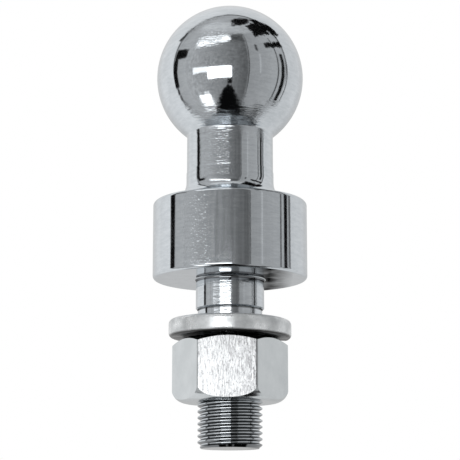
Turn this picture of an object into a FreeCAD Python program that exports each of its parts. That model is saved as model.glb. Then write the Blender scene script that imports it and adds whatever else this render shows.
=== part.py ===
"""Trailer hitch ball: a one-piece ball stud, a split spring washer and a hexagon nut.

The frame: millimetres, +Z up along the stud's axis. The origin is on the axis, in the plane of the
collar's underside, which is the face that seats on a drawbar. The ball is above it, and the shank,
the washer, the nut and the threaded end are below it. -Y is the front.
"""

import FreeCAD, Part
import math
import os

import Sketcher

Vector = FreeCAD.Vector

# Driving dimensions: alias, value, what it is. Lengths are in mm and angles in degrees.
# Heights are measured from the seat plane, so they are negative below the collar.
DIMENSIONS = [
    ("ball_diameter", 50.0, "towing ball"),
    ("ball_height", 70.05, "centre of the ball"),
    ("upper_neck_diameter", 29.2, "neck next to the ball"),
    ("lower_neck_diameter", 29.5, "neck next to the collar"),
    ("neck_step_height", 36.35, "where the neck's two diameters meet"),
    ("neck_step_length", 0.6, "length of the bevel between the two diameters"),
    ("ball_fillet", 1.0, "between the ball and the neck"),
    ("foot_fillet", 7.0, "between the neck and the collar"),
    ("collar_diameter", 51.8, "riser collar"),
    ("collar_height", 26.2, "riser collar"),
    ("collar_edge", 1.2, "rounding of the collar's two rims"),
    ("shank_diameter", 22.8, "plain shank that locates in the drawbar's hole"),
    ("shank_length", 10.3, "plain shank"),
    ("shank_fillet", 0.8, "between the shank and the seat"),
    ("shank_chamfer", 0.5, "lower end of the shank"),
    ("relief_diameter", 21.5, "plain part between the shank and the thread"),
    ("relief_end", -14.8, "lower end of the plain part"),
    ("undercut_diameter", 18.0, "groove that the thread runs out into"),
    ("undercut_top", -15.8, "upper end of the groove's floor"),
    ("undercut_bottom", -17.0, "lower end of the groove's floor"),
    ("thread_top", -18.0, "upper end of the full thread"),
    ("thread_diameter", 21.4, "over the crests"),
    ("thread_pitch", 2.0, "rise in one turn, right-hand"),
    ("thread_depth", 1.0, "crest to root"),
    ("root_flat", 0.4, "width of the flat at the thread's root"),
    ("cutter_overrun", 0.3, "how far a cutter's profile stands clear of the surface it enters"),
    ("stud_end", -56.05, "lower end of the stud"),
    ("end_chamfer", 1.1, "lower end of the stud"),
    ("cut_start", -58.0, "where the thread's cut starts, below the stud's end"),
    ("cut_height", 41.8, "rise of the thread's cut, up into the undercut"),
    ("washer_diameter", 40.8, "outside"),
    ("washer_bore", 22.4, "inside"),
    ("washer_thickness", 5.9, "height of the washer's section"),
    ("washer_edge", 1.4, "rounding of the washer's section"),
    ("washer_rise", 1.0, "how far one end stands above the other"),
    ("washer_height", -20.0, "underside of the washer's lower end"),
    ("washer_turns", 0.9996, "turns of the washer before the split is cut"),
    ("split_gap", 2.4, "width of the split"),
    ("split_slant", 18.0, "lean of the split from upright"),
    ("split_angle", 12.0, "where the split is, from +X towards +Y"),
    ("nut_flats", 33.5, "across the flats"),
    ("nut_thickness", 21.0, "height of the nut"),
    ("nut_height", -41.1, "underside of the nut"),
    ("nut_angle", -3.0, "turn of the nut from having a flat square to -Y"),
    ("nut_corner", 0.8, "rounding of the six upright edges"),
    ("nut_face_diameter", 31.4, "flat ring left by the upper end's chamfer"),
    ("nut_chamfer_angle", 30.0, "slope of the upper end's chamfer"),
    ("nut_foot_diameter", 29.2, "flat ring left by the lower end's rounding"),
    ("nut_foot_rounding", 4.75, "radius of the lower end's rounding"),
    ("nut_bore", 19.84, "through the crests of the nut's thread"),
    ("nut_bore_chamfer", 1.2, "lead-in at each end of the bore"),
    ("nut_thread_diameter", 21.64, "over the roots of the nut's thread"),
    ("nut_root_flat", 0.533, "width of the flat at the root of the nut's thread"),
    ("nut_cut_height", 25.0, "rise of the nut's thread cut, past both faces"),
]


def fill_sheet(document):
    """Put the driving dimensions in a spreadsheet, one aliased cell each."""
    sheet = document.addObject("Spreadsheet::Sheet", "dims")
    for row, (alias, value, meaning) in enumerate(DIMENSIONS, start=1):
        sheet.set(f"A{row}", alias)
        sheet.set(f"B{row}", str(value))
        sheet.set(f"C{row}", meaning)
        sheet.setAlias(f"B{row}", alias)
    document.recompute()
    return sheet


def number(sheet, expression):
    """The value of an expression over the spreadsheet's cells."""
    result = sheet.evalExpression(expression)
    return float(getattr(result, "Value", result))


def origin_plane(body, role):
    return next(item for item in body.Origin.OriginFeatures if item.Role == role)


def new_sketch(body, name, role):
    sketch = body.newObject("Sketcher::SketchObject", name)
    sketch.AttachmentSupport = [(origin_plane(body, role), "")]
    sketch.MapMode = "FlatFace"
    return sketch


def bind_point(sheet, sketch, point, axis, expression):
    """Hold one coordinate of a point, given as (edge, which end), at an expression."""
    value = number(sheet, expression)
    if abs(value) < 1e-9:
        other_axis = {"X": -2, "Y": -1}[axis]
        sketch.addConstraint(Sketcher.Constraint("PointOnObject", *point, other_axis))
        return
    constraint = Sketcher.Constraint("Distance" + axis, -1, 1, *point, value)
    index = sketch.addConstraint(constraint)
    sketch.setExpression(f"Constraints[{index}]", expression)


def draw_outline(sheet, sketch, corners, arcs=None):
    """Draw a closed outline through corners, counter-clockwise, and bind it to the spreadsheet.

    corners holds the (x, y) expressions of each corner. arcs maps the number of a corner to the
    (centre x, centre y, radius) expressions of the arc that leaves it, and an arc goes the shorter
    way round its centre. The other edges are straight.
    """
    arcs = arcs or {}
    points = [Vector(number(sheet, x), number(sheet, y), 0) for x, y in corners]
    count = len(points)
    # an edge's ends are its points 1 and 2, and a clockwise arc is drawn from its end to its start
    starts = [1] * count
    for index, start in enumerate(points):
        end = points[(index + 1) % count]
        if index in arcs:
            centre_x, centre_y, radius = [number(sheet, item) for item in arcs[index]]
            centre = Vector(centre_x, centre_y, 0)
            if (start - centre).cross(end - centre).z < 0:
                starts[index] = 2
                start, end = end, start
            first = math.atan2(start.y - centre_y, start.x - centre_x)
            last = math.atan2(end.y - centre_y, end.x - centre_x)
            circle = Part.Circle(centre, Vector(0, 0, 1), radius)
            sketch.addGeometry(Part.ArcOfCircle(circle, first, last), False)
        else:
            sketch.addGeometry(Part.LineSegment(start, end), False)
    for index in range(count):
        following = (index + 1) % count
        ends = (index, 3 - starts[index], following, starts[following])
        sketch.addConstraint(Sketcher.Constraint("Coincident", *ends))
    for index, (x, y) in enumerate(corners):
        bind_point(sheet, sketch, (index, starts[index]), "X", x)
        bind_point(sheet, sketch, (index, starts[index]), "Y", y)
    for index, (_, _, radius) in arcs.items():
        constraint = Sketcher.Constraint("Radius", index, number(sheet, radius))
        added = sketch.addConstraint(constraint)
        sketch.setExpression(f"Constraints[{added}]", radius)


def ring_edges(sheet, shape, places):
    """Names of a shape's circular edges about Z with the given (radius, height) expressions."""
    wanted = [(number(sheet, radius), number(sheet, height)) for radius, height in places]
    names = []
    for index, edge in enumerate(shape.Edges, start=1):
        if edge.Degenerated or not isinstance(edge.Curve, Part.Circle):
            continue
        curve = edge.Curve
        for radius, height in wanted:
            if abs(curve.Radius - radius) < 1e-4 and abs(curve.Center.z - height) < 1e-4:
                names.append(f"Edge{index}")
    if len(names) < len(wanted):
        raise RuntimeError(f"only {len(names)} of {len(wanted)} ring edges were found")
    return names


def dress(document, body, kind, name, base, edges, size):
    """Add a fillet or a chamfer of a bound size to some edges of a feature."""
    feature = body.newObject("PartDesign::" + kind, name)
    feature.Base = (base, edges)
    feature.setExpression("Radius" if kind == "Fillet" else "Size", size)
    document.recompute()
    return feature


def turn_helix(document, body, name, kind, sketch, expressions, left_handed=False):
    """Sweep a section along a helix about the sketch's upright axis, adding or cutting."""
    helix = body.newObject("PartDesign::" + kind, name)
    helix.Profile = sketch
    helix.ReferenceAxis = (sketch, ["V_Axis"])
    helix.Mode = "pitch-height-angle" if "Height" in expressions else "pitch-turns-angle"
    helix.LeftHanded = left_handed
    for item, expression in expressions.items():
        helix.setExpression(item, expression)
    document.recompute()
    return helix


def make_ball_stud(document, sheet):
    """The one-piece stud: ball, neck, collar, shank and thread."""
    body = document.addObject("PartDesign::Body", "BallStud")
    body.Label = "ball_stud"

    ball_foot = (
        "dims.ball_height - sqrt(pow(dims.ball_diameter / 2; 2)"
        " - pow(dims.upper_neck_diameter / 2; 2))"
    )
    shank = "dims.shank_diameter / 2"
    thread = "dims.thread_diameter / 2"
    collar = "dims.collar_diameter / 2"
    upper_neck = "dims.upper_neck_diameter / 2"
    lower_neck = "dims.lower_neck_diameter / 2"
    corners = [
        ("0", "dims.stud_end"),
        (f"{thread} - dims.end_chamfer", "dims.stud_end"),
        (thread, "dims.stud_end + dims.end_chamfer"),
        (thread, "dims.thread_top"),
        ("dims.undercut_diameter / 2", "dims.undercut_bottom"),
        ("dims.undercut_diameter / 2", "dims.undercut_top"),
        ("dims.relief_diameter / 2", "dims.relief_end"),
        ("dims.relief_diameter / 2", "-dims.shank_length"),
        (f"{shank} - dims.shank_chamfer", "-dims.shank_length"),
        (shank, "-dims.shank_length + dims.shank_chamfer"),
        (shank, "0"),
        (collar, "0"),
        (collar, "dims.collar_height"),
        (lower_neck, "dims.collar_height"),
        (lower_neck, "dims.neck_step_height"),
        (upper_neck, "dims.neck_step_height + dims.neck_step_length"),
        (upper_neck, ball_foot),
        ("0", "dims.ball_height + dims.ball_diameter / 2"),
    ]
    # the ball's arc leaves the last corner but one, where the neck ends, and reaches the pole
    ball_arc = {len(corners) - 2: ("0", "dims.ball_height", "dims.ball_diameter / 2")}
    outline = new_sketch(body, "StudOutline", "XZ_Plane")
    draw_outline(sheet, outline, corners, ball_arc)
    blank = body.newObject("PartDesign::Revolution", "StudBlank")
    blank.Profile = outline
    blank.ReferenceAxis = (outline, ["V_Axis"])
    blank.Angle = 360
    document.recompute()

    # the rims and roots are rounded on the turned blank
    rims = [(collar, "0"), (collar, "dims.collar_height")]
    edges = ring_edges(sheet, blank.Shape, rims)
    feature = dress(document, body, "Fillet", "CollarRims", blank, edges, "dims.collar_edge")
    for name, radius, height, size in (
        ("ShankRoot", shank, "0", "dims.shank_fillet"),
        ("NeckFoot", lower_neck, "dims.collar_height", "dims.foot_fillet"),
        ("BallRoot", upper_neck, ball_foot, "dims.ball_fillet"),
    ):
        edges = ring_edges(sheet, feature.Shape, [(radius, height)])
        feature = dress(document, body, "Fillet", name, feature, edges, size)

    # the thread: a 60 degree groove on a right-hand helix, from below the end to the undercut
    half_root = "dims.root_flat / 2"
    half_mouth = f"{half_root} + (dims.thread_depth + dims.cutter_overrun) * tan(30deg)"
    groove_mouth = f"{thread} + dims.cutter_overrun"
    groove_root = f"{thread} - dims.thread_depth"
    groove = new_sketch(body, "ThreadGroove", "XZ_Plane")
    draw_outline(
        sheet,
        groove,
        [
            (groove_mouth, f"dims.cut_start + {half_mouth}"),
            (groove_root, f"dims.cut_start + {half_root}"),
            (groove_root, f"dims.cut_start - {half_root}"),
            (groove_mouth, f"dims.cut_start - ({half_mouth})"),
        ],
    )
    lead = {"Pitch": "dims.thread_pitch", "Height": "dims.cut_height"}
    turn_helix(document, body, "Thread", "SubtractiveHelix", groove, lead)
    return body


def make_lock_washer(document, sheet):
    """The split spring washer: a rounded bar coiled once, left-hand, and cut through on a slant."""
    body = document.addObject("PartDesign::Body", "LockWasher")
    body.Label = "lock_washer"

    inner = "dims.washer_bore / 2"
    outer = "dims.washer_diameter / 2"
    top = "dims.washer_thickness"
    edge = "dims.washer_edge"
    section = new_sketch(body, "BarSection", "XZ_Plane")
    draw_outline(
        sheet,
        section,
        [
            (f"{inner} + {edge}", "0"),
            (f"{outer} - {edge}", "0"),
            (outer, edge),
            (outer, f"{top} - {edge}"),
            (f"{outer} - {edge}", top),
            (f"{inner} + {edge}", top),
            (inner, f"{top} - {edge}"),
            (inner, edge),
        ],
        {
            1: (f"{outer} - {edge}", edge, edge),
            3: (f"{outer} - {edge}", f"{top} - {edge}", edge),
            5: (f"{inner} + {edge}", f"{top} - {edge}", edge),
            7: (f"{inner} + {edge}", edge, edge),
        },
    )
    # one turn rises by washer_rise, so the two ends stand that far apart
    coil = {"Pitch": "dims.washer_rise", "Turns": "dims.washer_turns"}
    turn_helix(document, body, "Coil", "AdditiveHelix", section, coil, left_handed=True)

    # the split leans so that each end has a sharp edge that bites against loosening
    below = f"-{edge}"
    above = f"{top} + dims.washer_rise + {edge}"
    middle = f"({top} + dims.washer_rise) / 2"
    lean = "tan(dims.split_slant * 1deg)"
    half_gap = "dims.split_gap / 2"
    split = new_sketch(body, "SplitOutline", "YZ_Plane")
    draw_outline(
        sheet,
        split,
        [
            (f"({middle} - ({below})) * {lean} - {half_gap}", below),
            (f"({middle} - ({below})) * {lean} + {half_gap}", below),
            (f"({middle} - ({above})) * {lean} + {half_gap}", above),
            (f"({middle} - ({above})) * {lean} - {half_gap}", above),
        ],
    )
    cut = body.newObject("PartDesign::Pocket", "Split")
    cut.Profile = split
    cut.Reversed = True
    cut.setExpression("Length", f"{outer} + {edge}")
    document.recompute()

    angle = number(sheet, "dims.split_angle")
    height = number(sheet, "dims.washer_height")
    turned = FreeCAD.Rotation(Vector(0, 0, 1), angle)
    body.Placement = FreeCAD.Placement(Vector(0, 0, height), turned)
    body.setExpression("Placement.Base.z", "dims.washer_height")
    body.setExpression("Placement.Rotation.Angle", "dims.split_angle * 1deg")
    document.recompute()
    return body


def make_hex_nut(document, sheet):
    """The hexagon nut: chamfered above, rounded below, with its own right-hand thread."""
    body = document.addObject("PartDesign::Body", "HexNut")
    body.Label = "hex_nut"

    corner_radius = "dims.nut_flats / sqrt(3)"
    hexagon = new_sketch(body, "Hexagon", "XY_Plane")
    corners = []
    for step in range(6):
        angle = f"({step} * 60 + dims.nut_angle) * 1deg"
        corners.append((f"{corner_radius} * cos({angle})", f"{corner_radius} * sin({angle})"))
    draw_outline(sheet, hexagon, corners)
    blank = body.newObject("PartDesign::Pad", "HexBar")
    blank.Profile = hexagon
    blank.setExpression("Length", "dims.nut_thickness")
    document.recompute()

    upright = []
    for index, edge in enumerate(blank.Shape.Edges, start=1):
        first, last = [vertex.Point for vertex in edge.Vertexes]
        if abs(first.z - last.z) > number(sheet, "dims.nut_thickness / 2"):
            upright.append(f"Edge{index}")
    dress(document, body, "Fillet", "Corners", blank, upright, "dims.nut_corner")

    # both ends are turned, which leaves an arc at each end of each flat
    face = "dims.nut_face_diameter / 2"
    foot = "dims.nut_foot_diameter / 2"
    rounding = "dims.nut_foot_rounding"
    over = "dims.cutter_overrun"
    outside = f"{corner_radius} + {over}"
    drop = f"({outside} - {face}) * tan(dims.nut_chamfer_angle * 1deg)"
    top = "dims.nut_thickness"
    above = [
        (face, top),
        (outside, f"{top} - {drop}"),
        (outside, f"{top} + {over}"),
        (face, f"{top} + {over}"),
    ]
    below = [
        (foot, "0"),
        (foot, f"-{over}"),
        (outside, f"-{over}"),
        (outside, rounding),
        (f"{foot} + {rounding}", rounding),
    ]
    foot_arc = {len(below) - 1: (foot, rounding, rounding)}
    for name, points, arcs in (("UpperEnd", above, None), ("LowerEnd", below, foot_arc)):
        outline = new_sketch(body, name + "Outline", "XZ_Plane")
        draw_outline(sheet, outline, points, arcs)
        turned = body.newObject("PartDesign::Groove", name)
        turned.Profile = outline
        turned.ReferenceAxis = (outline, ["V_Axis"])
        turned.Angle = 360
        document.recompute()

    hole = new_sketch(body, "BoreOutline", "XY_Plane")
    bore_radius = number(sheet, "dims.nut_bore / 2")
    hole.addGeometry(Part.Circle(Vector(0, 0, 0), Vector(0, 0, 1), bore_radius), False)
    hole.addConstraint(Sketcher.Constraint("Coincident", 0, 3, -1, 1))
    index = hole.addConstraint(Sketcher.Constraint("Radius", 0, bore_radius))
    hole.setExpression(f"Constraints[{index}]", "dims.nut_bore / 2")
    bore = body.newObject("PartDesign::Pocket", "Bore")
    bore.Profile = hole
    bore.Type = "ThroughAll"
    bore.Reversed = True
    document.recompute()
    mouths = [("dims.nut_bore / 2", "0"), ("dims.nut_bore / 2", top)]
    edges = ring_edges(sheet, bore.Shape, mouths)
    dress(document, body, "Chamfer", "BoreMouths", bore, edges, "dims.nut_bore_chamfer")

    # the nut's groove follows the stud's ridge, which lies half a pitch from the stud's groove, and
    # it starts a whole number of pitches up from the stud's cut, just below the nut
    whole_pitches = 7
    start = f"(dims.cut_start + ({whole_pitches} + 1 / 2) * dims.thread_pitch - dims.nut_height)"
    root = "dims.nut_thread_diameter / 2"
    mouth = "dims.nut_bore / 2 - dims.cutter_overrun"
    half_root = "dims.nut_root_flat / 2"
    half_mouth = f"({half_root} + ({root} - ({mouth})) * tan(30deg))"
    groove = new_sketch(body, "NutThreadGroove", "XZ_Plane")
    draw_outline(
        sheet,
        groove,
        [
            (mouth, f"{start} - {half_mouth}"),
            (root, f"{start} - {half_root}"),
            (root, f"{start} + {half_root}"),
            (mouth, f"{start} + {half_mouth}"),
        ],
    )
    lead = {"Pitch": "dims.thread_pitch", "Height": "dims.nut_cut_height"}
    turn_helix(document, body, "NutThread", "SubtractiveHelix", groove, lead)

    seat = Vector(0, 0, number(sheet, "dims.nut_height"))
    body.Placement = FreeCAD.Placement(seat, FreeCAD.Rotation())
    body.setExpression("Placement.Base.z", "dims.nut_height")
    document.recompute()
    return body


def check(document, bodies):
    """Stop unless every object recomputed and every sub-part is one valid solid."""
    for item in document.Objects:
        if {"Invalid", "Error"} & set(item.State):
            raise RuntimeError(f"{item.Name} did not recompute: {item.State}")
    for body in bodies:
        shape = body.Shape
        if shape.isNull() or not shape.isValid() or len(shape.Solids) != 1:
            raise RuntimeError(f"{body.Label} is not one valid solid")


def main():
    document = FreeCAD.newDocument("trailer_hitch_ball")
    sheet = fill_sheet(document)
    bodies = [
        make_ball_stud(document, sheet),
        make_lock_washer(document, sheet),
        make_hex_nut(document, sheet),
    ]
    check(document, bodies)
    os.makedirs("parts", exist_ok=True)
    for body in bodies:
        body.Shape.exportStep(f"parts/{body.Label}.step")
        print(f"{body.Label}: {body.Shape.Volume / 1000:.2f} cm3")


main()
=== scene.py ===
"""The looks of the trailer hitch ball: finer meshes, plated finishes and a small photo studio.

Metres, +Z up along the stud's axis, with the seat plane at z = 0. -Y is the front.
"""

import math

import bmesh
import bpy
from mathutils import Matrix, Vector


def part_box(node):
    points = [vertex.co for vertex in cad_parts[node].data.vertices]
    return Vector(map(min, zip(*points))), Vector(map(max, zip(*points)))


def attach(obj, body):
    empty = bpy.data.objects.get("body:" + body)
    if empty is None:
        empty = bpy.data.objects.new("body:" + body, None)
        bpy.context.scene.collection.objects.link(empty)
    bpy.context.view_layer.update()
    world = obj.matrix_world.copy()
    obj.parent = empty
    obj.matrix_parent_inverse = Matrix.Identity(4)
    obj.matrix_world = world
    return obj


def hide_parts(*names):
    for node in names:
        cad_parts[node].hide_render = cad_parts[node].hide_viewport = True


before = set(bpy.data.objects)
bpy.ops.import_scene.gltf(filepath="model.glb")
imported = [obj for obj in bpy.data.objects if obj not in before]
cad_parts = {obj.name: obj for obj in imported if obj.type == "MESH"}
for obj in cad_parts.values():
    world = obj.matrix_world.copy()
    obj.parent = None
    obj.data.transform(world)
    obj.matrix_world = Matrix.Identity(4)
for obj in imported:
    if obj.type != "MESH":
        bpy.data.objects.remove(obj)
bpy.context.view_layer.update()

MM = 0.001
STUD_LOW, STUD_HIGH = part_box("ball_stud")

# The stud's sizes, in metres. Heights are measured from the seat plane.
BALL_RADIUS = 25.0 * MM
BALL_HEIGHT = STUD_HIGH.z - BALL_RADIUS
BALL_FILLET = 1.0 * MM
UPPER_NECK = 14.6 * MM
LOWER_NECK = 14.75 * MM
NECK_STEP = 36.35 * MM
NECK_STEP_LENGTH = 0.6 * MM
FOOT_FILLET = 7.0 * MM
COLLAR_RADIUS = STUD_HIGH.x
COLLAR_HEIGHT = 26.2 * MM
COLLAR_EDGE = 1.2 * MM
SHANK_RADIUS = 11.4 * MM
SHANK_END = -10.3 * MM
SHANK_FILLET = 0.8 * MM
SHANK_CHAMFER = 0.5 * MM
RELIEF_RADIUS = 10.75 * MM
RELIEF_END = -14.8 * MM
UNDERCUT_RADIUS = 9.0 * MM
UNDERCUT_TOP = -15.8 * MM
UNDERCUT_BOTTOM = -17.0 * MM
THREAD_TOP = -18.0 * MM
THREAD_RADIUS = 10.7 * MM
THREAD_PITCH = 2.0 * MM
THREAD_DEPTH = 1.0 * MM
THREAD_START = -58.0 * MM
END_CHAMFER = 1.1 * MM
STUD_END = STUD_LOW.z

# The thread's angle in degrees, half the width of its root, and how far its edges are cut back.
THREAD_HALF_ANGLE = 30
HALF_ROOT = 0.2 * MM
THREAD_BLEND = 0.06 * MM

# The finer mesh: sides of a turned face, vertices that count as one, and the sharpest smooth edge.
SEGMENTS = 192
MERGE = 1e-7
SHARP_ANGLE = 40

# The camera's place in metres, how far it looks up in radians, and its lens and sensor in mm.
CAMERA_PLACE = (0, -0.5096, -0.0862)
CAMERA_PITCH = 0.2
CAMERA_LENS = 120.7
CAMERA_SENSOR = 36.0

# The studio is laid out round the ball: azimuth 0 is towards the camera and grows to the right.
# Distances are in metres from the ball's centre. A strength of 1 looks white in a mirror. A card
# has a vertex for about every CARD_STEP degrees.
STUDIO_CENTRE = Vector((0, 0, BALL_HEIGHT))
WALL_DISTANCE = 2.6
FAR_LAMP_DISTANCE = 2.0
FRAME_DISTANCE = 1.5
LAMP_DISTANCE = 0.8
STAND_DISTANCE = 0.6
CARD_STEP = 2
LAMP = 2.8
BLACK = 0.004
FLOOR_RADIUS = 0.9
FLOOR_SIDES = 96

# Finishes and painted shade, as linear colours.
CHROME_LOW = (0.55, 0.585, 0.615, 1)
CHROME_HIGH = (0.625, 0.66, 0.69, 1)
# painted shade for the thread's flanks, where shade falls in the grooves
CHROME_FLANK_SHADE = (0.17, 0.178, 0.187, 1)
# painted shade for the corners at both ends of the shank and part of the seat, with its dark glance
PAINTED_SHADE = (0.03, 0.03, 0.032, 1)
PAINTED_SHADE_GLANCE = (0.1, 0.1, 0.1, 1)
UNSHADED_GLANCE = (1.0, 1.0, 1.0, 1)
WASHER_LOW = (0.50, 0.52, 0.53, 1)
WASHER_HIGH = (0.80, 0.82, 0.83, 1)
# painted shade for the washer's underside, between it and the nut
WASHER_UNDERSIDE_SHADE = (0.02, 0.02, 0.02, 1)
NUT_LOW = (0.54, 0.57, 0.585, 1)
NUT_HIGH = (0.60, 0.63, 0.645, 1)
# painted shade: a darker zinc for the front flat
NUT_FRONT_SHADE = (0.38, 0.39, 0.395, 1)
NUT_MARKS = (0.10, 0.10, 0.105, 1)
FLOOR_GREY = (0.86, 0.86, 0.86, 1)
WHITE = (1, 1, 1, 1)


def arc(centre, radius, first, last, steps):
    """Points of an arc in the (radius, height) half-plane, from one angle in degrees to another."""
    points = []
    for step in range(steps + 1):
        angle = math.radians(first + (last - first) * step / steps)
        points.append((centre[0] + radius * math.cos(angle), centre[1] + radius * math.sin(angle)))
    return points


def turned_outline():
    """The turned outline from the undercut's lower corner up to just below the ball's pole."""
    drop = math.sqrt((BALL_RADIUS + BALL_FILLET) ** 2 - (UPPER_NECK + BALL_FILLET) ** 2)
    fillet_centre = (UPPER_NECK + BALL_FILLET, BALL_HEIGHT - drop)
    foot = math.degrees(math.atan2(-drop, UPPER_NECK + BALL_FILLET))
    rim = COLLAR_RADIUS - COLLAR_EDGE
    points = [
        (UNDERCUT_RADIUS, UNDERCUT_BOTTOM),
        (UNDERCUT_RADIUS, UNDERCUT_TOP),
        (RELIEF_RADIUS, RELIEF_END),
        (RELIEF_RADIUS, SHANK_END),
        (SHANK_RADIUS - SHANK_CHAMFER, SHANK_END),
        (SHANK_RADIUS, SHANK_END + SHANK_CHAMFER),
    ]
    points += arc((SHANK_RADIUS + SHANK_FILLET, -SHANK_FILLET), SHANK_FILLET, 180, 90, 8)
    points += arc((rim, COLLAR_EDGE), COLLAR_EDGE, -90, 0, 12)
    points += arc((rim, COLLAR_HEIGHT - COLLAR_EDGE), COLLAR_EDGE, 0, 90, 12)
    foot_centre = (LOWER_NECK + FOOT_FILLET, COLLAR_HEIGHT + FOOT_FILLET)
    points += arc(foot_centre, FOOT_FILLET, 270, 180, 16)
    points += [(LOWER_NECK, NECK_STEP), (UPPER_NECK, NECK_STEP + NECK_STEP_LENGTH)]
    points += arc(fillet_centre, BALL_FILLET, 180, 180 + foot, 8)
    points += arc((0, BALL_HEIGHT), BALL_RADIUS, foot, 90, 64)[1:-1]
    return points


def thread_section():
    """One pitch of the thread: (height in the pitch, depth below the crest), from root to root."""
    slope = math.tan(math.radians(THREAD_HALF_ANGLE))
    half_pitch = THREAD_PITCH / 2
    half_crest = half_pitch - HALF_ROOT - THREAD_DEPTH * slope
    half = [
        (0.0, THREAD_DEPTH),
        (HALF_ROOT - THREAD_BLEND, THREAD_DEPTH),
        (HALF_ROOT + THREAD_BLEND * slope, THREAD_DEPTH - THREAD_BLEND),
        (half_pitch - half_crest - THREAD_BLEND * slope, THREAD_BLEND),
        (half_pitch - half_crest + THREAD_BLEND, 0.0),
        (half_pitch, 0.0),
    ]
    return half + [(THREAD_PITCH - height, depth) for height, depth in reversed(half[1:-1])]


def thread_depth(section, height):
    """Depth of the groove at a height above a root, by straight lines between the section's points."""
    height %= THREAD_PITCH
    closed = section + [(THREAD_PITCH, section[0][1])]
    for (low, first), (high, last) in zip(closed, closed[1:]):
        if low <= height <= high:
            return first + (last - first) * (height - low) / (high - low)
    return 0.0


def ring(mesh, pairs):
    """One ring of vertices from its (radius, height) pairs, one for each segment."""
    row = []
    for column, (radius, height) in enumerate(pairs):
        angle = 2 * math.pi * column / SEGMENTS
        row.append(mesh.verts.new((radius * math.cos(angle), radius * math.sin(angle), height)))
    return row


def thread_point(section, height, depth, lead):
    """(radius, height) on the thread, held between the end face and the undercut."""
    z = height
    if z < STUD_END:
        z = STUD_END
        depth = thread_depth(section, z - THREAD_START - lead)
    z = min(z, UNDERCUT_BOTTOM)
    end_cone = THREAD_RADIUS - END_CHAMFER + z - STUD_END
    share = (UNDERCUT_BOTTOM - z) / (UNDERCUT_BOTTOM - THREAD_TOP)
    run_out = UNDERCUT_RADIUS + (THREAD_RADIUS - UNDERCUT_RADIUS) * share
    return min(THREAD_RADIUS - depth, end_cone, run_out), z


def build_thread(mesh):
    """The thread, in rows that climb one pitch in each turn. Its lowest row is returned."""
    section = thread_section()
    turns = math.ceil((UNDERCUT_BOTTOM - THREAD_START) / THREAD_PITCH)
    rows = []
    for number in range(-1, turns + 1):
        for height, depth in section:
            pairs = []
            for column in range(SEGMENTS):
                lead = THREAD_PITCH * column / SEGMENTS
                z = THREAD_START + number * THREAD_PITCH + height + lead
                pairs.append(thread_point(section, z, depth, lead))
            rows.append(ring(mesh, pairs))
    join_thread(mesh, rows, len(section))
    return rows[0]


def join_thread(mesh, rows, step):
    """Faces between the rows. Behind its last segment, a row goes on as the one a pitch higher."""
    for number in range(len(rows) - 1):
        lower, upper = rows[number], rows[number + 1]
        for column in range(SEGMENTS):
            if column < SEGMENTS - 1:
                after = (lower[column + 1], upper[column + 1])
            elif number + step + 1 < len(rows):
                after = (rows[number + step][0], rows[number + step + 1][0])
            else:
                after = (rows[-1][0], rows[-1][0])
            corners = [lower[column], after[0], after[1], upper[column]]
            if len(set(corners)) > 2:
                mesh.faces.new([v for i, v in enumerate(corners) if v not in corners[:i]])


def build_turned(mesh):
    """Everything above the thread, from the undercut to the ball's pole."""
    rings = [ring(mesh, [point] * SEGMENTS) for point in turned_outline()]
    for lower, upper in zip(rings, rings[1:]):
        for column in range(SEGMENTS):
            after = (column + 1) % SEGMENTS
            mesh.faces.new((lower[column], lower[after], upper[after], upper[column]))
    pole = mesh.verts.new((0, 0, BALL_HEIGHT + BALL_RADIUS))
    for column in range(SEGMENTS):
        after = (column + 1) % SEGMENTS
        mesh.faces.new((rings[-1][column], rings[-1][after], pole))


def build_stud():
    """The whole stud as one closed mesh."""
    mesh = bmesh.new()
    lowest = build_thread(mesh)
    middle = mesh.verts.new((0, 0, STUD_END))
    for column in range(SEGMENTS):
        after = (column + 1) % SEGMENTS
        mesh.faces.new((lowest[after], lowest[column], middle))
    build_turned(mesh)
    bmesh.ops.remove_doubles(mesh, verts=mesh.verts, dist=MERGE)
    bmesh.ops.dissolve_degenerate(mesh, edges=mesh.edges, dist=MERGE)
    bmesh.ops.recalc_face_normals(mesh, faces=mesh.faces)
    return finished(mesh, "stud")


def finished(mesh, name):
    """Turn a bmesh into a smooth-shaded object whose flat faces keep flat normals."""
    data = bpy.data.meshes.new(name)
    mesh.to_mesh(data)
    mesh.free()
    data.shade_smooth()
    data.set_sharp_from_angle(angle=math.radians(SHARP_ANGLE))
    piece = bpy.data.objects.new(name, data)
    bpy.context.scene.collection.objects.link(piece)
    weighted = piece.modifiers.new("flat faces stay flat", "WEIGHTED_NORMAL")
    weighted.keep_sharp = True
    return piece


# ---- materials ----

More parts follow.
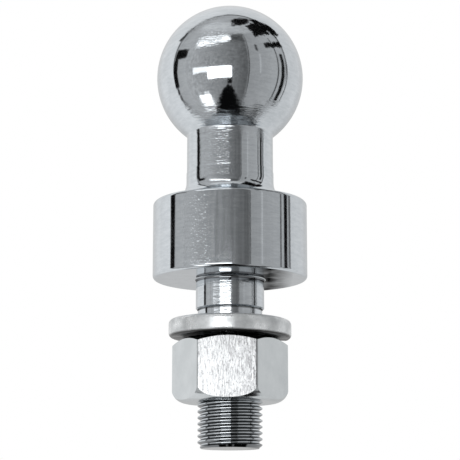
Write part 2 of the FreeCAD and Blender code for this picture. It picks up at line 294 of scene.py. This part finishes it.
class Nodes:
    """A short way to add and join the nodes of a material or a world."""

    def __init__(self, tree, place):
        self.tree = tree
        coordinates = self.add("ShaderNodeTexCoord").outputs
        self.place = coordinates[place]
        self.axes = self.split(self.place)
        self.facing = self.split(coordinates["Normal"])

    def add(self, kind, inputs=None, **settings):
        node = self.tree.nodes.new(kind)
        for key, value in settings.items():
            setattr(node, key, value)
        for key, value in (inputs or {}).items():
            self.put(node.inputs[key], value)
        return node

    def put(self, socket, value):
        if isinstance(value, bpy.types.NodeSocket):
            self.tree.links.new(value, socket)
        else:
            socket.default_value = value

    def split(self, vector):
        return self.add("ShaderNodeSeparateXYZ", {"Vector": vector}).outputs

    def noise(self, stretch, detail=3.0, roughness=0.5):
        """Noise with so many cells per metre along each axis."""
        scaled = self.add("ShaderNodeVectorMath", operation="MULTIPLY")
        self.put(scaled.inputs[0], self.place)
        self.put(scaled.inputs[1], stretch)
        inputs = {"Vector": scaled.outputs[0], "Scale": 1.0, "Detail": detail}
        inputs["Roughness"] = roughness
        return self.add("ShaderNodeTexNoise", inputs).outputs["Fac"]

    def math(self, operation, first, second=0.0, clamp=False):
        node = self.add("ShaderNodeMath", operation=operation, use_clamp=clamp)
        self.put(node.inputs[0], first)
        self.put(node.inputs[1], second)
        return node.outputs[0]

    def between(self, axis, low, high, soft):
        """1 between two places along an axis and 0 outside them, with soft ends."""
        rise = self.remap(self.axes[axis], low - soft, low + soft, 0.0, 1.0)
        fall = self.remap(self.axes[axis], high - soft, high + soft, 1.0, 0.0)
        return self.math("MULTIPLY", rise, fall)

    def length(self, vector):
        node = self.add("ShaderNodeVectorMath", operation="LENGTH")
        self.put(node.inputs[0], vector)
        return node.outputs["Value"]

    def radius(self):
        """Distance from the Z axis."""
        flat = self.add("ShaderNodeCombineXYZ", {"X": self.axes["X"], "Y": self.axes["Y"]})
        return self.length(flat.outputs[0])

    def product(self, first, *others):
        for other in others:
            first = self.math("MULTIPLY", first, other)
        return first

    def sum_of(self, *terms):
        """Add up (amount, mask) pairs."""
        total = 0.0
        for amount, mask in terms:
            total = self.math("ADD", total, self.math("MULTIPLY", amount, mask))
        return total

    def remap(self, value, low, high, new_low, new_high):
        inputs = {"Value": value, "From Min": low, "From Max": high}
        inputs.update({"To Min": new_low, "To Max": new_high})
        return self.add("ShaderNodeMapRange", inputs).outputs["Result"]

    def blend(self, share, first, second):
        node = self.add("ShaderNodeMix", data_type="RGBA")
        self.put(node.inputs["Factor"], share)
        self.put(node.inputs["A"], first)
        self.put(node.inputs["B"], second)
        return node.outputs["Result"]

    def bump(self, height, distance, before=None):
        inputs = {"Height": height, "Distance": distance, "Strength": 1.0}
        if before is not None:
            inputs["Normal"] = before
        return self.add("ShaderNodeBump", inputs).outputs["Normal"]

    def show(self, share, first, second, output):
        """Send a mix of two shaders to the output."""
        mix = self.add("ShaderNodeMixShader", {"Fac": share})
        self.put(mix.inputs[1], first)
        self.put(mix.inputs[2], second)
        self.put(output.inputs["Surface"], mix.outputs[0])


class Material(Nodes):
    """The nodes of a new material, placed by the object's own coordinates."""

    def __init__(self, name):
        self.material = bpy.data.materials.new(name)
        self.material.use_nodes = True
        super().__init__(self.material.node_tree, "Object")
        self.shader = self.tree.nodes["Principled BSDF"]
        self.output = self.tree.nodes["Material Output"]

    def surface(self, **values):
        for key, value in values.items():
            self.put(self.shader.inputs[key.replace("_", " ")], value)
        return self.material


def chrome():
    """Chrome plate over a turned surface.

    It is a mirror on the ball, but for a scuffed patch. It is ringed by the tool on the shank and
    where the ball meets the neck, grainy down the neck and pitted on one side of the collar. It is
    darkened by painted shade on the thread's flanks, in the corners and on part of the seat.
    """
    nodes = Material("polished_chrome")
    clouds = nodes.noise((120, 120, 120), 3.0, 0.5)
    shade_mask = painted_chrome_shade(nodes, clouds)
    return nodes.surface(
        # painted shade darkens the plate's colour and its glance
        Base_Color=nodes.blend(shade_mask, chrome_plate(nodes), PAINTED_SHADE),
        Specular_Tint=nodes.blend(shade_mask, UNSHADED_GLANCE, PAINTED_SHADE_GLANCE),
        Metallic=1.0,
        Roughness=nodes.remap(clouds, 0.3, 0.7, 0.05, 0.09),
        Normal=chrome_relief(nodes),
    )


def chrome_relief(nodes):
    """Tool rings, grain, pits and slow waves. The depths are in mm, one for each marked part."""
    root = nodes.between("Z", 48.0 * MM, 56.0 * MM, 3.0 * MM)
    neck = nodes.product(
        nodes.between("Z", 31.5 * MM, 47.0 * MM, 1.5 * MM), nodes.between("X", -9.5 * MM, MM, 1.5 * MM)
    )
    collar = nodes.between("Z", COLLAR_EDGE + 0.3 * MM, COLLAR_HEIGHT - COLLAR_EDGE - 0.2 * MM, MM)
    shank = nodes.between("Z", THREAD_TOP, -1.5 * MM, 0.5 * MM)
    front = nodes.between("Y", -30.0 * MM, -5.0 * MM, 5.0 * MM)
    pitted = nodes.product(nodes.between("X", -15.5 * MM, -7.0 * MM, 1.5 * MM), front, collar)
    scuffed = nodes.product(
        nodes.between("X", -12.5 * MM, -1.0 * MM, 3.0 * MM),
        nodes.between("Z", 73.0 * MM, 85.0 * MM, 3.0 * MM),
        front,
    )

    rings = nodes.noise((60, 60, 2600), 4.0, 0.6)
    wide_rings = nodes.noise((170, 170, 1100), 3.0, 0.6)
    grain = nodes.noise((1700, 1700, 2000), 2.0, 0.6)
    pits = nodes.noise((1500, 1500, 1100), 2.0, 0.5)
    waves = nodes.noise((90, 90, 90), 2.0, 0.5)
    bevel = nodes.remap(nodes.axes["Z"], NECK_STEP, NECK_STEP + NECK_STEP_LENGTH, 0.0, 1.0)
    layers = (
        (rings, ((0.0008, 1.0), (0.09, root), (0.01, neck), (0.001, collar), (0.02, shank))),
        (wide_rings, ((0.13, root), (0.008, neck), (0.01, collar), (0.03, shank), (0.10, scuffed))),
        (grain, ((0.0008, 1.0), (0.02, root), (0.065, neck), (0.008, shank), (0.05, scuffed))),
        (pits, ((nodes.remap(nodes.axes["Z"], 2.0 * MM, 24.0 * MM, 0.035, 0.09), pitted),)),
        (waves, ((0.02, 1.0),)),
        (bevel, ((0.03, 1.0),)),
    )
    normal = None
    for pattern, depths in layers:
        normal = nodes.bump(nodes.math("MULTIPLY", pattern, nodes.sum_of(*depths)), MM, normal)
    return normal


def chrome_plate(nodes):
    """The plate's colour: buffed in bands, with painted shade on the thread's flanks."""
    bands = nodes.noise((230, 230, 950), 3.0, 0.7)
    buffed = nodes.blend(nodes.remap(bands, 0.35, 0.65, 0.0, 1.0), CHROME_LOW, CHROME_HIGH)
    # painted shade: the thread's steep flanks are darkened
    thread = nodes.remap(nodes.axes["Z"], THREAD_TOP - 0.5 * MM, THREAD_TOP + 0.5 * MM, 1.0, 0.0)
    steep = nodes.remap(nodes.math("ABSOLUTE", nodes.facing["Z"]), 0.25, 0.6, 0.0, 1.0)
    return nodes.blend(nodes.product(thread, steep), buffed, CHROME_FLANK_SHADE)


def painted_chrome_shade(nodes, clouds):
    """Painted shade on the plate: dark corners at both ends of the shank, and a dark patch on part of
    the seat.
    """
    near_shank = nodes.remap(nodes.radius(), SHANK_RADIUS + 0.6 * MM, SHANK_RADIUS + MM, 1.0, 0.0)
    ends = nodes.math(
        "MAXIMUM",
        nodes.between("Z", -1.1 * MM, -0.2 * MM, 0.1 * MM),
        nodes.between("Z", SHANK_END - 0.45 * MM, SHANK_END + 0.1 * MM, 0.05 * MM),
    )
    # painted shade in the corners at both ends of the shank
    corners = nodes.product(ends, near_shank, 0.65)
    seat = nodes.remap(nodes.facing["Z"], -0.98, -0.9, 1.0, 0.0)
    patch = nodes.between("X", 9.0 * MM, 17.0 * MM, 4.0 * MM)
    # painted shade on part of the seat beside the shank
    seat_shade = nodes.product(patch, seat, nodes.remap(clouds, 0.3, 0.6, 0.4, 1.0))
    return nodes.math("MAXIMUM", corners, seat_shade, clamp=True)


def zinc_washer():
    """Pale zinc over a coiled bar, with marks that run round the coil and painted shade underneath."""
    nodes = Material("zinc_washer")
    marks = nodes.noise((260, 260, 900), 4.0, 0.6)
    clouds = nodes.noise((170, 170, 170), 4.0, 0.65)
    pits = nodes.noise((1500, 1500, 1500), 2.0, 0.5)
    normal = nodes.bump(marks, 0.03 * MM)
    normal = nodes.bump(pits, 0.012 * MM, normal)
    zinc = nodes.blend(nodes.remap(clouds, 0.35, 0.65, 0.0, 1.0), WASHER_LOW, WASHER_HIGH)
    # painted shade on the downward faces
    shaded_underside = nodes.remap(nodes.facing["Z"], -0.7, -0.3, 1.0, 0.0)
    return nodes.surface(
        Base_Color=nodes.blend(shaded_underside, zinc, WASHER_UNDERSIDE_SHADE),
        Metallic=0.6,
        Roughness=nodes.remap(clouds, 0.3, 0.7, 0.36, 0.22),
        Normal=normal,
    )


def zinc_nut():
    """Zinc over drawn bar, with upright marks, deeper on the front flat. The front flat is painted
    shade: a darker zinc whose marks darken towards the right.
    """
    nodes = Material("zinc_nut")
    # the front flat, which gets painted shade
    front_flat = nodes.remap(nodes.facing["Y"], -0.90, -0.98, 0.0, 1.0)
    marks = nodes.noise((2300, 2300, 420), 4.0, 0.7)
    flecks = nodes.noise((2000, 2000, 900), 3.0, 0.6)
    clouds = nodes.noise((160, 160, 160), 4.0, 0.6)
    # painted shade: the front flat's marks darken towards the right
    right = nodes.remap(nodes.axes["X"], -9.0 * MM, 9.0 * MM, 0.0, 0.07)
    dark_marks = nodes.remap(nodes.math("ADD", marks, right), 0.46, 0.73, 0.22, 0.92)
    dark_flecks = nodes.remap(nodes.math("ADD", flecks, right), 0.58, 0.70, 0.0, 1.0)
    # the zinc's own marks, with painted shade towards the right
    marks_and_shade = nodes.math("MULTIPLY", nodes.math("MAXIMUM", dark_marks, dark_flecks), front_flat)
    zinc = nodes.blend(nodes.remap(clouds, 0.35, 0.65, 0.0, 1.0), NUT_LOW, NUT_HIGH)
    # painted shade: the front flat is a darker copy of the zinc
    zinc = nodes.blend(front_flat, zinc, NUT_FRONT_SHADE)
    depth = nodes.sum_of((0.006, 1.0), (0.05, front_flat))
    normal = nodes.bump(nodes.math("MULTIPLY", marks, depth), MM)
    return nodes.surface(
        Base_Color=nodes.blend(marks_and_shade, zinc, NUT_MARKS),
        Metallic=1.0,
        Roughness=nodes.remap(clouds, 0.3, 0.7, 0.14, 0.20),
        Normal=normal,
    )


# ---- studio ----

def direction(azimuth, elevation):
    """Unit vector for an azimuth and elevation in degrees. Azimuth 0 is towards the camera."""
    a, e = math.radians(azimuth), math.radians(elevation)
    return Vector((math.sin(a) * math.cos(e), -math.cos(a) * math.cos(e), math.sin(e)))


def glow(name, soft, ragged, mottle):
    """Light whose strength and distance from the border, in degrees, come with the mesh."""
    nodes = Material(name)
    shade = nodes.add("ShaderNodeAttribute", attribute_name="shade").outputs["Fac"]
    inset = nodes.add("ShaderNodeAttribute", attribute_name="inset").outputs["Fac"]
    uneven = nodes.remap(nodes.noise((9, 9, 9), 5.0, 0.65), 0.3, 0.7, -ragged, ragged)
    cover = nodes.remap(nodes.math("ADD", inset, uneven), 0.0, soft, 0.0, 1.0)
    level = nodes.remap(nodes.noise((6, 6, 6), 6.0, 0.7), 0.3, 0.7, 1.0 - mottle, 1.0 + mottle)
    light = nodes.add("ShaderNodeEmission", {"Strength": nodes.math("MULTIPLY", shade, level)})
    clear = nodes.add("ShaderNodeBsdfTransparent")
    nodes.show(cover, clear.outputs[0], light.outputs[0], nodes.output)
    nodes.tree.nodes.remove(nodes.shader)
    return nodes.material


def card(name, azimuths, elevations, distance, brightness, slant=0.0, top=None, soft=0.3,
         ragged=0.0, mottle=0.0):
    """A panel round the ball that only reflections see.

    brightness is one value, or its values at the left and right ends. slant lifts the right end, in
    degrees. top holds the azimuths of the upper edge where they differ from the lower edge's.
    """
    ends = brightness if isinstance(brightness, tuple) else (brightness, brightness)
    top = top or azimuths
    columns = max(4, round((azimuths[1] - azimuths[0]) / CARD_STEP))
    levels = max(4, round((elevations[1] - elevations[0]) / CARD_STEP))
    height = elevations[1] - elevations[0]
    mesh = bmesh.new()
    shade = mesh.verts.layers.float.new("shade")
    inset = mesh.verts.layers.float.new("inset")
    grid = []
    for column in range(columns + 1):
        across = column / columns
        line = []
        for level in range(levels + 1):
            up = level / levels
            left = azimuths[0] + (top[0] - azimuths[0]) * up
            right = azimuths[1] + (top[1] - azimuths[1]) * up
            elevation = elevations[0] + height * up + slant * across
            ray = direction(left + (right - left) * across, elevation)
            vertex = mesh.verts.new(STUDIO_CENTRE + ray * distance)
            vertex[shade] = ends[0] + (ends[1] - ends[0]) * across
            width = (right - left) * math.cos(math.radians(elevation))
            vertex[inset] = min(across * width, (1 - across) * width, up * height, (1 - up) * height)
            line.append(vertex)
        grid.append(line)
    for left, right in zip(grid, grid[1:]):
        for level in range(levels):
            mesh.faces.new((left[level], right[level], right[level + 1], left[level + 1]))
    data = bpy.data.meshes.new(name)
    mesh.to_mesh(data)
    mesh.free()
    panel = bpy.data.objects.new(name, data)
    bpy.context.scene.collection.objects.link(panel)
    data.materials.append(glow(name, soft, ragged, mottle))
    only_in_reflections(panel)


def only_in_reflections(panel):
    panel.visible_camera = False
    panel.visible_diffuse = False
    panel.visible_transmission = False
    panel.visible_shadow = False


def build_studio():
    """Everything that stands round the ball and is seen in it."""
    build_walls()
    build_frames()
    build_lamps()
    build_dark_things()


def build_walls():
    """A ceiling and walls that end where the tent behind the object begins."""
    far = WALL_DISTANCE
    card("ceiling", (-97, 97), (56, 84), far, (0.90, 0.50), soft=7, ragged=3, mottle=0.25)
    card("wall_left", (-97, -70), (-44, 60), far, (0.52, 0.62), soft=3, mottle=0.06)
    card("wall_front", (-71, 31), (-60, 58), far, (0.60, 0.13), soft=4, mottle=0.36)
    card("wall_corner", (28.5, 31), (-60, 58), far * 0.98, 0.05, soft=1)
    card("wall_right", (30.5, 97), (-60, 58), far, (0.42, 0.60), soft=1, mottle=0.08)
    card("shade_front", (-25, 30), (42, 59), far * 0.97, 0.09, soft=7, ragged=6, mottle=0.3)


def build_frames():
    """Doorposts, a window, a beam and dark openings along both sides."""
    gap = FRAME_DISTANCE
    card("door_left", (-98, -88), (-10, 22), gap, BLACK, soft=1, ragged=0.6)
    card("edge_left", (-98, -92), (-58, -8), gap, 0.04, soft=1.5, ragged=2)
    card("edge_top", (-113, -103), (40, 58), gap, 0.04, soft=2, ragged=3)
    card("window_left", (-98, -72), (21, 33), gap, BLACK, soft=1, ragged=1.2)
    card("frame_right", (78.5, 82), (-38, 48), gap, 0.08, soft=1)
    card("door_right", (86, 94), (-28, 28), gap, BLACK, soft=1, ragged=0.6)
    card("frame_far_right", (98, 101), (-30, 24), gap, 0.12, soft=1)
    card("beam_right", (62, 106), (34, 42), gap, BLACK, soft=1, ragged=2)
    card("hole_right", (52, 112), (50, 71), gap, BLACK, soft=2, ragged=4)
    card("hole_top", (10, 124), (72, 88), gap, BLACK, soft=2, ragged=3)
    card("hole_back", (100, 126), (44, 74), gap, BLACK, soft=2, ragged=4)
    card("mark_right", (42, 48), (28, 39), gap, 0.04, soft=1.5, ragged=1.5)
    card("glass_right", (46, 50), (-4, 26), gap, 0.70, soft=2)
    card("corner_right", (56, 94), (-64, -42), gap, 0.03, soft=6, ragged=8)


def build_lamps():
    """Soft boxes on the left, and what they spill on the floor."""
    near = LAMP_DISTANCE
    card("lamp_left", (-60, -34), (-3, 6.4), FAR_LAMP_DISTANCE, LAMP * 0.6, slant=-1.0, soft=1, ragged=1)
    card("lamp_high", (-60, 3), (33, 43), near, LAMP, slant=12, soft=1.5, ragged=2)
    card("lamp_front", (-35, 3), (-14, 3.4), near, LAMP * 1.6, soft=0.4, ragged=0.2)
    card("lamp_spill", (-46, -8), (-66, -49), near, LAMP * 0.7, soft=3, ragged=6)
    card("lamp_low", (-56, -36), (-50, -30), near, LAMP, top=(-60, -36), soft=2, ragged=3)


def build_dark_things():
    """A camera on its stand, and a dark floor that leaves the tent's front clear."""
    close = STAND_DISTANCE
    card("camera", (-4.5, 4.5), (-24, -15), close, BLACK, soft=1.5, ragged=0.3)
    card("stand", (-42, 32), (-60, -24), close, BLACK, top=(-4, 3), soft=1.5, ragged=6)
    card("floor_front", (-60, 60), (-90, -55), close, BLACK, soft=2)
    card("floor_back", (60, 300), (-90, -72), close, BLACK, soft=1)
    card("floor_right", (60, 165), (-75, -62), close, BLACK, soft=3)


def build_world():
    """White all round for the camera and the floor; a white tent behind and a grey room in front
    for reflections."""
    world = bpy.data.worlds.new("studio")
    bpy.context.scene.world = world
    world.use_nodes = True
    world.node_tree.nodes.clear()
    nodes = Nodes(world.node_tree, "Generated")
    across, deep, high = nodes.axes["X"], nodes.axes["Y"], nodes.axes["Z"]

    # the tent's edge leans back overhead, and a dark hem runs along it
    behind = nodes.math("SUBTRACT", deep, nodes.math("MULTIPLY", high, 0.12))
    tent = nodes.remap(behind, 0.125, 0.14, 0.0, 1.0)
    hem = nodes.remap(behind, 0.07, 0.10, 1.0, 0.25)
    fade = nodes.remap(deep, 0.70, 1.0, 1.0, 0.66)
    side = nodes.remap(across, -1.0, 1.0, 1.0, 0.82)
    cloth = nodes.remap(nodes.noise((2.5, 2.5, 2.5), 2.0, 0.5), 0.3, 0.7, 0.93, 1.05)
    bright = nodes.product(fade, side, cloth)
    room = nodes.add("ShaderNodeMix")
    nodes.put(room.inputs["Factor"], tent)
    nodes.put(room.inputs["A"], nodes.math("MULTIPLY", hem, 0.55))
    nodes.put(room.inputs["B"], bright)

    reflected = nodes.add("ShaderNodeBackground", {"Color": room.outputs["Result"]})
    plain = nodes.add("ShaderNodeBackground", {"Color": WHITE})
    glossy = nodes.add("ShaderNodeLightPath").outputs["Is Glossy Ray"]
    output = nodes.add("ShaderNodeOutputWorld")
    nodes.show(glossy, plain.outputs[0], reflected.outputs[0], output)


def build_floor():
    """A plain pale floor under the stud's end. It is clear from below, because the eye is lower."""
    mesh = bmesh.new()
    bmesh.ops.create_circle(mesh, cap_ends=True, radius=FLOOR_RADIUS, segments=FLOOR_SIDES)
    bmesh.ops.translate(mesh, verts=mesh.verts, vec=(0, 0, STUD_END))
    data = bpy.data.meshes.new("floor")
    mesh.to_mesh(data)
    mesh.free()
    floor = bpy.data.objects.new("floor", data)
    bpy.context.scene.collection.objects.link(floor)
    floor.visible_glossy = False
    data.materials.append(pale_floor())


def pale_floor():
    """Matt and pale, fading to nothing towards the edge."""
    nodes = Material("floor")
    nodes.surface(Base_Color=FLOOR_GREY, Roughness=0.8)
    edge = nodes.remap(nodes.length(nodes.place), FLOOR_RADIUS * 0.4, FLOOR_RADIUS, 0.0, 1.0)
    below = nodes.add("ShaderNodeNewGeometry").outputs["Backfacing"]
    clear = nodes.add("ShaderNodeBsdfTransparent")
    hidden = nodes.math("MAXIMUM", edge, below)
    nodes.show(hidden, nodes.shader.outputs[0], clear.outputs[0], nodes.output)
    return nodes.material


def build_camera():
    """A low eye that looks up at the object, as in a catalogue picture of a tall small part."""
    data = bpy.data.cameras.new("camera")
    data.sensor_width = CAMERA_SENSOR
    data.lens = CAMERA_LENS
    camera = bpy.data.objects.new("camera", data)
    bpy.context.scene.collection.objects.link(camera)
    camera.location = CAMERA_PLACE
    camera.rotation_euler = (math.pi / 2 + CAMERA_PITCH, 0, 0)
    bpy.context.scene.camera = camera


def paint(piece, material):
    piece.data.materials.clear()
    piece.data.materials.append(material)


stud = build_stud()
paint(stud, chrome())
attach(stud, "stud")
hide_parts("ball_stud")

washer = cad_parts["lock_washer"]
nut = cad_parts["hex_nut"]
washer.material_slots[0].material = zinc_washer()
nut.material_slots[0].material = zinc_nut()

build_studio()
build_world()
build_floor()
build_camera()
scene = bpy.context.scene
scene.view_settings.view_transform = "Standard"
